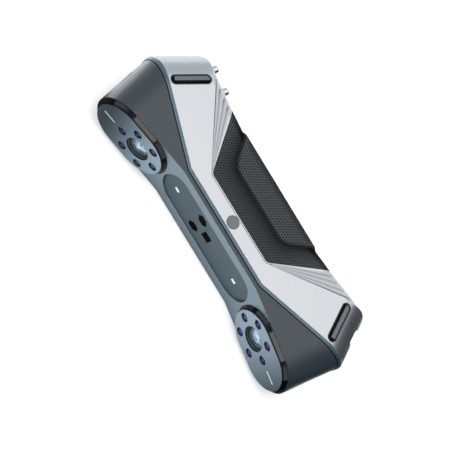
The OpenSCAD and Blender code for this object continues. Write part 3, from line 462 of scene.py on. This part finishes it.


# Grip: one rubber skin from the silver edge over the back to the underside, with a raised pad. The valley
# round the pad falls and rises over the given lengths, and the shades paint shade or a highlight on the
# rubber.
grip = {
    "front": 22.3, "run": 30.15, "angle": 53.8, "corner": 4, "back": 59.2, "rounding": 8, "thick": 2.8,
    "padFront": 38.6, "padRun": 26.4, "padAngle": 53, "padCorner": 12, "padSink": 0.35,
    "valley": 2.3, "fall": 12.5, "fallPower": 1.5, "rise": 2.2, "backValley": 0.3, "backProud": 0.1,
    "rimDrop": 0.5, "rimWide": 0.8,
    "ridgeHighlight": 0.6, "crestWide": 1.3, "shade": 0.85, "turnShade": 0.5,
    "frontShade": 0.25, "frontShadeY": 26, "frontShadeFade": 22,
    "columns": 200, "topRows": 60, "turnRows": 14, "backRows": 22,
}


def shieldWidth(y, front, run, angle, corner):
    # half width at depth y of a plan that widens to the back from a straight front
    a = math.radians(angle)
    if y < front + corner * (1 - math.cos(a)):
        drop = corner - max(y - front, 0)
        return run - corner * math.tan(a / 2) + math.sqrt(max(corner ** 2 - drop ** 2, 0))
    return run + (y - front) / math.tan(a)


def shieldInside(x, y, front, run, angle, corner):
    # how far a point lies inside that plan
    a = math.radians(angle)
    x = abs(x)
    v = (x - run + corner * math.tan(a / 2), y - front - corner)
    if v[0] >= 0 and -v[0] * math.cos(a) - v[1] * math.sin(a) >= 0:
        return corner - math.hypot(*v)
    return min(y - front, (run - x) * math.sin(a) + (y - front) * math.cos(a))


def smooth(t):
    t = min(max(t, 0), 1)
    return t * t * (3 - 2 * t)


def gripSection(g):
    # the section in Y and Z: a point, its outward direction and the path length so far
    h = body["halfThick"]
    r = g["rounding"]
    flat = g["back"] - r - g["front"]
    turn = r * math.pi / 2
    rows = []
    for i in range(g["topRows"] + 1):
        s = flat * i / g["topRows"]
        rows.append((g["front"] + s, h, 0, 1, s))
    for i in range(1, g["turnRows"] + 1):
        a = math.pi / 2 * i / g["turnRows"]
        y = g["back"] - r + r * math.sin(a)
        z = h - r + r * math.cos(a)
        rows.append((y, z, math.sin(a), math.cos(a), flat + turn * i / g["turnRows"]))
    for i in range(1, g["backRows"] // 2 + 1):
        z = (h - r) * (1 - 2 * i / g["backRows"])
        rows.append((g["back"], z, 1, 0, flat + turn + h - r - z))
    whole = 2 * rows[-1][4]
    return rows + [(y, -z, ny, -nz, whole - s) for y, z, ny, nz, s in reversed(rows[:-1])]


def gripRelief(g, x, y, ny, nz):
    # how deep the skin lies at a point, and how much painted highlight or painted shade it gets there
    inside = shieldInside(x, y, g["padFront"], g["padRun"], g["padAngle"], g["padCorner"])
    near = min(max(1 + inside / g["fall"], 0), 1) ** g["fallPower"]
    up = smooth(inside / g["rise"])
    top = g["valley"] * near * (1 - up) + g["padSink"] * up
    rear = g["backValley"] * near * (1 - up) - g["backProud"] * up
    # the rim of the skin turns down a little where it meets the shell
    edge = shieldInside(x, y, g["front"], g["run"], g["angle"], g["corner"])
    depth = top * abs(nz) + rear * ny + g["rimDrop"] * (1 - smooth(edge / g["rimWide"]))
    # painted highlight along the ridge of the pad; painted shade in the valley, towards the front and on the
    # turn
    ridgeHighlight = math.exp(-((inside - g["rise"]) / g["crestWide"]) ** 2)
    tone = ridgeHighlight * g["ridgeHighlight"] - g["shade"] * near * (1 - up)
    tone -= g["frontShade"] * (1 - smooth((y - g["frontShadeY"]) / g["frontShadeFade"])) * (1 - near)
    # the two directions' product is a half in the middle of the turn
    tone -= g["turnShade"] * 2 * ny * abs(nz)
    return depth, tone


def makeGrip(g):
    bm = bmesh.new()
    skin = bm.loops.layers.uv.new("skin")
    paintedLightOnRelief = bm.verts.layers.float.new("paintedLightOnRelief")
    grid = []
    for y, z, ny, nz, s in gripSection(g):
        wide = shieldWidth(y, g["front"], g["run"], g["angle"], g["corner"])
        line = []
        for j in range(g["columns"] + 1):
            x = wide * (2 * j / g["columns"] - 1)
            depth, tone = gripRelief(g, x, y, ny, nz)
            vert = bm.verts.new((x, y - ny * depth, z - nz * depth))
            vert[paintedLightOnRelief] = tone
            line.append((vert, (x * mm, s * mm)))
        grid.append(line)
    for a, b in zip(grid, grid[1:]):
        for j in range(g["columns"]):
            corners = (a[j], a[j + 1], b[j + 1], b[j])
            face = bm.faces.new([c[0] for c in corners])
            face.smooth = True
            for loop, c in zip(face.loops, corners):
                loop[skin].uv = c[1]
    mesh = closeMesh(bm, "gripSkin", made["gripRubber"], toPart)
    if mesh.polygons[g["columns"] // 2].normal.z < 0:
        # an open skin can come out either way round
        mesh.flip_normals()
    piece = newPiece("gripSkin", mesh, "housing", ("grip",), "rubber")
    wall = piece.modifiers.new("wall", "SOLIDIFY")
    wall.thickness = g["thick"] * mm
    wall.offset = -1
    wall.use_even_offset = False


makeGrip(grip)
print("grip made")

# Light domes and their black sleeves, six round each lens
domes = {
    "count": 6, "ring": 13.6, "radius": 2.78, "tall": 1.7, "deep": 4.0, "below": 0.3,
    "sleeveOuter": 3.02, "sleeveInner": 2.82, "innerLip": 0.06, "lip": 0.02, "lipWide": 0.08, "outerLip": 0.1,
    "steps": 28, "arcSteps": 10,
}


def lathe(name, profile, steps, mat):
    # turns a profile of radius and depth round the Y axis
    bm = bmesh.new()
    verts = [bm.verts.new((r, y, 0)) for r, y in profile]
    edges = [bm.edges.new(pair) for pair in zip(verts, verts[1:])]
    bmesh.ops.spin(bm, geom=verts + edges, cent=(0, 0, 0), axis=(0, 1, 0), angle=2 * math.pi, steps=steps)
    bmesh.ops.remove_doubles(bm, verts=bm.verts[:], dist=1e-5)
    for face in bm.faces:
        face.smooth = True
    return bpy.data.objects.new(name, closeMesh(bm, name, mat))


def domeProfile(d):
    angles = [math.pi / 2 * i / d["arcSteps"] for i in range(1, d["arcSteps"] + 1)]
    arc = [(d["radius"] * math.sin(a), d["below"] + d["tall"] * (1 - math.cos(a))) for a in angles]
    return [(0, d["below"])] + arc + [(d["radius"], d["deep"]), (0, d["deep"])]


def sleeveProfile(d):
    inner = d["sleeveInner"]
    outer = d["sleeveOuter"]
    return [(inner, d["innerLip"]), (outer - d["lipWide"], d["lip"]), (outer, d["outerLip"]),
            (outer, d["deep"]), (inner, d["deep"]), (inner, d["innerLip"])]


def makeRingTree(d):
    # copies of one piece on a ring, at rest in the pod's frame
    group, given, result = makeGroup("ringOfPieces", "GeometryNodeTree", {
        "Geometry": ("NodeSocketGeometry", None), "Piece": ("NodeSocketObject", None),
        "Count": ("NodeSocketInt", d["count"]), "Ring Radius": (number, d["ring"]),
        "Finish": ("NodeSocketMaterial", None)}, {"Geometry": "NodeSocketGeometry"})
    ring = put(group, "GeometryNodeMeshCircle", {"Vertices": given["Count"], "Radius": given["Ring Radius"]})
    upright = put(group, "GeometryNodeTransform", {
        "Geometry": ring.outputs["Mesh"], "Rotation": (math.pi / 2, 0.0, 0.0)})
    shape = put(group, "GeometryNodeObjectInfo", {"Object": given["Piece"], "As Instance": False})
    placed = put(group, "GeometryNodeInstanceOnPoints", {
        "Points": upright.outputs["Geometry"], "Instance": shape.outputs["Geometry"]})
    real = put(group, "GeometryNodeRealizeInstances", {0: placed.outputs["Instances"]})
    coated = put(group, "GeometryNodeSetMaterial", {0: real.outputs[0], "Material": given["Finish"]})
    group.links.new(coated.outputs["Geometry"], result.inputs["Geometry"])
    return group


def grow(tree, name, values, place, **facts):
    # runs a geometry tree and keeps its result as a plain mesh in the part's frame
    carrier = bpy.data.objects.new(name + "Grow", bpy.data.meshes.new(name))
    bpy.context.scene.collection.objects.link(carrier)
    run = carrier.modifiers.new("grow", "NODES")
    run.node_group = tree
    for item in tree.interface.items_tree:
        if item.in_out == "INPUT" and item.name in values:
            run[item.identifier] = values[item.name]
    seen = carrier.evaluated_get(bpy.context.evaluated_depsgraph_get())
    mesh = bpy.data.meshes.new_from_object(seen)
    bpy.data.objects.remove(carrier)
    setPlace(mesh, place)
    newPiece(name, mesh, "housing", **facts)


def makeDomes(d):
    tree = makeRingTree(d)
    resin = made["blueResin"]
    black = made["glossBlack"]
    dome = lathe("domeShape", domeProfile(d), d["steps"], resin)
    sleeve = lathe("sleeveShape", sleeveProfile(d), d["steps"], black)
    for side, label in ends:
        values = {"Piece": dome, "Count": d["count"], "Ring Radius": d["ring"], "Finish": resin}
        grow(tree, label + "Domes", values, podMatrix(side), stands=(label + "_light_domes",),
             slotName="blue_resin")
        values.update({"Piece": sleeve, "Finish": black})
        grow(tree, label + "Sleeves", values, podMatrix(side), slotName="gloss_black")


makeDomes(domes)
print("light domes made")

# Strap bars: rounded grey covers on the bars in the strap cups, open at the front end
strapBar = {
    "cornerX": 94.89, "cornerY": 64.26, "taper": 26.5, "slotIn": 19.8, "slotBack": 13.7,
    "slotLen": 27, "slotWide": 6.4, "left": -0.4, "right": 2.5, "frontSpace": 3.16, "endGap": 0.45,
    "sink": 0.86, "tall": 5.0, "rounding": 0.35, "roundSteps": 3, "endSteps": 8,
}


def makeStrapBars(side, label, s):
    bm = bmesh.new()
    low = s["frontSpace"] - s["slotLen"] / 2
    high = s["slotLen"] / 2 - s["endGap"]
    endRound = s["slotWide"] / 2 - s["endGap"]
    outline = [(s["left"], low), (s["right"], low)]
    for i in range(s["endSteps"] + 1):
        # the far end follows the slot's round end
        x = s["right"] + (s["left"] - s["right"]) * i / s["endSteps"]
        outline.append((x, high - endRound + math.sqrt(endRound ** 2 - x ** 2)))
    for flip in (1, -1):
        top = flip * (body["halfThick"] - s["sink"])
        face = bm.faces.new([bm.verts.new((x, y, top)) for x, y in outline])
        grown = bmesh.ops.extrude_face_region(bm, geom=[face])["geom"]
        far = [v for v in grown if isinstance(v, bmesh.types.BMVert)]
        bmesh.ops.translate(bm, vec=(0, 0, -flip * s["tall"]), verts=far)
    corner = Matrix.Scale(side, 4, (1, 0, 0)) @ Matrix.Translation((s["cornerX"], s["cornerY"], 0))
    taper = Matrix.Rotation(math.radians(s["taper"]), 4, "Z")
    place = toPart @ corner @ taper @ Matrix.Translation((-s["slotIn"], -s["slotBack"], 0))
    mesh = closeMesh(bm, "strapBar", made["barGrey"], place)
    piece = newPiece(label + "StrapBars", mesh, "housing", slotName="gloss_black")
    soften = piece.modifiers.new("soften", "BEVEL")
    soften.width = s["rounding"] * mm
    soften.segments = s["roundSteps"]
    soften.limit_method = "ANGLE"


for side, label in ends:
    makeStrapBars(side, label, strapBar)
print("strap bars made")

# Fine dark line in both silver faces, beside the front edge of the grip
gripLine = {"near": 0.7, "far": 0.95, "flank": 1.6, "proud": 0.012, "deep": 0.25, "steps": 10}


def gripBorder(g, gap, flank, steps):
    # the grip's edge, moved out by the gap, from one flank over the front to the other
    a = math.radians(g["angle"])
    r = g["corner"] + gap
    cx = g["run"] - g["corner"] * math.tan(a / 2)
    cy = g["front"] + g["corner"]
    turns = [a * i / steps for i in range(steps + 1)]
    points = [(cx + r * math.sin(t), cy - r * math.cos(t)) for t in turns]
    points.append((points[-1][0] + flank * math.cos(a), points[-1][1] + flank * math.sin(a)))
    return [(-x, y) for x, y in reversed(points)] + points


def makeGripLine(g, s):
    bm = bmesh.new()
    inner = gripBorder(g, s["near"], s["flank"], s["steps"])
    outer = gripBorder(g, s["far"], s["flank"], s["steps"])
    for flip in (1, -1):
        top = flip * (body["halfThick"] + s["proud"])
        low = flip * (body["halfThick"] - s["deep"])
        lines = ((inner, top), (outer, top), (outer, low), (inner, low))
        loops = [[bm.verts.new((x, y, z)) for x, y in line] for line, z in lines]
        for one, other in zip(loops, loops[1:] + loops[:1]):
            for i in range(len(one) - 1):
                bm.faces.new((one[i], one[i + 1], other[i + 1], other[i]))
        for end in (0, -1):
            bm.faces.new([loop[end] for loop in loops])
    mesh = closeMesh(bm, "gripLine", made["glossBlack"], toPart)
    newPiece("gripLine", mesh, "housing", slotName="gloss_black")


makeGripLine(grip, gripLine)
print("grip line made")

# Pill-shaped field on each round dark end: the fine dark line round it
endPill = {
    "alongY": 23.0, "length": 14.8, "arc": 9.2, "corner": 4.5, "line": 0.75, "round": 20.8, "axisX": 14.8,
    "proud": 0.04, "deep": 0.3, "cornerSteps": 8, "edgeSteps": 6,
}


def pillPoint(e, y, s, lift):
    # from along and round the dark end to the pod's frame
    a = s / e["round"]
    r = e["round"] + lift
    return e["axisX"] + r * math.cos(a), e["alongY"] + y, r * math.sin(a)


def pillOutline(e, shrink):
    long = e["length"] / 2 - shrink
    wide = e["arc"] / 2 - shrink
    r = e["corner"] - shrink
    points = []
    for quarter, (sx, sy) in enumerate(((1, 1), (-1, 1), (-1, -1), (1, -1))):
        for i in range(e["cornerSteps"] + 1):
            a = math.pi / 2 * (quarter + i / e["cornerSteps"])
            points.append((sx * (long - r) + r * math.cos(a), sy * (wide - r) + r * math.sin(a)))
    fine = []
    for a, b in zip(points, points[1:] + points[:1]):
        for i in range(e["edgeSteps"]):
            t = i / e["edgeSteps"]
            fine.append((a[0] + (b[0] - a[0]) * t, a[1] + (b[1] - a[1]) * t))
    return fine


def makeEndPill(side, label, e):
    bm = bmesh.new()
    lines = ((0, e["proud"]), (e["line"], e["proud"]), (e["line"], -e["deep"]), (0, -e["deep"]))
    rings = [[bm.verts.new(pillPoint(e, y, s, lift)) for y, s in pillOutline(e, shrink)]
             for shrink, lift in lines]
    for a, b in zip(rings, rings[1:] + rings[:1]):
        for i in range(len(a)):
            j = (i + 1) % len(a)
            bm.faces.new((a[i], a[j], b[j], b[i]))
    mesh = closeMesh(bm, "endPillLine", made["glossBlack"], podMatrix(side))
    newPiece(label + "EndPillLine", mesh, "housing", slotName="gloss_black")


for side, label in ends:
    makeEndPill(side, label, endPill)
print("end pills made")

# Studio, in metres: a white floor that keeps the shadow, a sky with a dark ring, and soft lamps
studio = {
    "floorSize": 6, "floorBelow": 0.0003, "floor": 0.8, "floorLift": 0.42,
    "mirrorLift": 0.3, "mirrorTint": (0.93, 0.98, 1.0, 1.0),
    # painted reflections on the object: how bright the floor looks in mirrored rays only, from one place to
    # another:
    # low close under the front, beyond the pods and at the right end, and brighter beside the dark end on the
    # left
    "frontFrom": (-0.005, 0.01), "frontNear": (0.008, 0.022, 0.45, 1.0), "leftLean": 1.2,
    "frontSides": (0.052, 0.108, 1.0, 0.04), "rightEnd": (0.106, 0.135, 1.0, 0.03),
    "leftEnd": (0.108, 0.130), "leftGlow": (0.034, 0.046, 1.2, 0.0),
    # sky by height, then soft cards: direction, inner and outer angle, colour
    "sky": ((0.0, (0.76, 0.80, 0.84)), (0.5, (0.76, 0.80, 0.84)), (0.57, (0.58, 0.64, 0.69)),
            (0.65, (0.29, 0.33, 0.36)), (0.75, (0.22, 0.25, 0.27)), (0.82, (0.46, 0.49, 0.51)),
            (0.88, (0.84, 0.85, 0.86)), (1.0, (1.0, 1.0, 1.0))),
    "cards": {
        "frontShade": ((0.0, -0.78, 0.62), 38, 54, (0.20, 0.22, 0.24)),
        "leftFlag": ((-0.86, -0.18, 0.48), 20, 38, (0.90, 0.92, 0.94)),
        "rightUpperFlag": ((0.86, -0.18, 0.48), 20, 38, (0.86, 0.87, 0.88)),
        "backStrip": ((0.0, 1.0, 0.03), 24, 44, (0.95, 0.97, 0.99)),
        "backLeft": ((-0.62, 0.72, 0.22), 16, 34, (0.56, 0.64, 0.70)),
        "rightFlag": ((0.72, 0.68, 0.12), 23, 36, (0.012, 0.02, 0.03)),
    },
    # soft lamps: place, size and watts, all aimed at one point
    "lamps": {
        "keyCard": ((0.15, -0.46, 1.02), (0.36, 0.36), 0.95),
        "topCard": ((0.0, 0.62, 1.15), (1.3, 1.0), 1.1),
        "zenithCard": ((0.0, -0.12, 1.2), (0.5, 0.5), 4.2),
        "frontFill": ((-0.1, -0.9, 0.25), (0.5, 0.3), 3.0),
    },
    "aim": (0, 0.02, 0.02),
}


def mirroredShade(tree, s):
    # the floor's brightness in mirrored rays only, from where they meet it, which paints reflections on the
    # object
    place = split(tree, objectPlace(tree))
    ahead = reckon(tree, "MULTIPLY", place["Y"], -1.0)
    leftward = reckon(tree, "MULTIPLY", place["X"], -1.0)
    across = reckon(tree, "MAXIMUM", place["X"], reckon(tree, "MULTIPLY", leftward, s["leftLean"]))
    near = smoothStep(tree, ahead, *s["frontNear"])
    sides = smoothStep(tree, across, *s["frontSides"])
    inFront = smoothStep(tree, ahead, *s["frontFrom"])
    front = between(tree, inFront, 1.0, reckon(tree, "MULTIPLY", near, sides))
    end = smoothStep(tree, place["X"], *s["rightEnd"])
    beside = smoothStep(tree, leftward, *s["leftEnd"])
    glow = smoothStep(tree, place["Y"], *s["leftGlow"])
    boost = reckon(tree, "MULTIPLY_ADD", beside, glow, 1.0)
    return reckon(tree, "MULTIPLY", reckon(tree, "MULTIPLY", front, end), boost)


def makeFloor(s):
    bm = bmesh.new()
    bmesh.ops.create_grid(bm, x_segments=1, y_segments=1, size=s["floorSize"],
                          matrix=Matrix.Translation((0, 0, -s["floorBelow"])))
    mesh = bpy.data.meshes.new("floor")
    bm.to_mesh(mesh)
    bm.free()
    floor = bpy.data.objects.new("floor", mesh)
    bpy.context.scene.collection.objects.link(floor)
    mat = bpy.data.materials.new("floorWhite")
    mat.use_nodes = True
    tree = mat.node_tree
    shader = tree.nodes["Principled BSDF"]
    shader.inputs["Roughness"].default_value = 1.0
    shader.inputs["Specular IOR Level"].default_value = 0.0
    rays = put(tree, "ShaderNodeLightPath").outputs
    mirrored = reckon(tree, "MAXIMUM", rays["Is Glossy Ray"], rays["Is Transmission Ray"])
    shade = between(tree, mirrored, 1.0, mirroredShade(tree, s))
    tint = blend(tree, mirrored, (1, 1, 1, 1), s["mirrorTint"])
    grey = scaleVector(tree, tint, reckon(tree, "MULTIPLY", s["floor"], shade))
    tree.links.new(grey, shader.inputs["Base Color"])
    tree.links.new(tint, shader.inputs["Emission Color"])
    lift = reckon(tree, "MULTIPLY", rays["Is Camera Ray"], s["floorLift"])
    lift = reckon(tree, "MULTIPLY_ADD", reckon(tree, "MULTIPLY", mirrored, shade), s["mirrorLift"], lift)
    tree.links.new(lift, shader.inputs["Emission Strength"])
    mesh.materials.append(mat)


def makeSky(s):
    world = bpy.data.worlds.new("sky")
    bpy.context.scene.world = world
    world.use_nodes = True
    tree = world.node_tree
    way = put(tree, "ShaderNodeTexCoord").outputs["Generated"]
    height = reckon(tree, "MULTIPLY_ADD", split(tree, way)["Z"], 0.5, 0.5)
    light = shadeRamp(tree, height, [(place, rgb + (1,)) for place, rgb in s["sky"]])
    for centre, inner, outer, shade in s["cards"].values():
        facing = reckonVector(tree, "DOT_PRODUCT", way, Vector(centre).normalized()[:])
        cover = smoothStep(tree, facing, math.cos(math.radians(outer)), math.cos(math.radians(inner)))
        light = blend(tree, cover, light, shade + (1,))
    tree.links.new(light, tree.nodes["Background"].inputs["Color"])


def makeLamp(name, place, size, watts, aim):
    data = bpy.data.lights.new(name, "AREA")
    data.shape = "RECTANGLE"
    data.size, data.size_y = size
    data.energy = watts
    lamp = bpy.data.objects.new(name, data)
    lamp.location = place
    lamp.rotation_euler = (Vector(aim) - Vector(place)).to_track_quat("-Z", "Y").to_euler()
    bpy.context.scene.collection.objects.link(lamp)


makeFloor(studio)
makeSky(studio)
for name, (place, size, watts) in studio["lamps"].items():
    makeLamp(name, place, size, watts, studio["aim"])
bpy.context.scene.view_settings.view_transform = "Standard"
print("studio made")
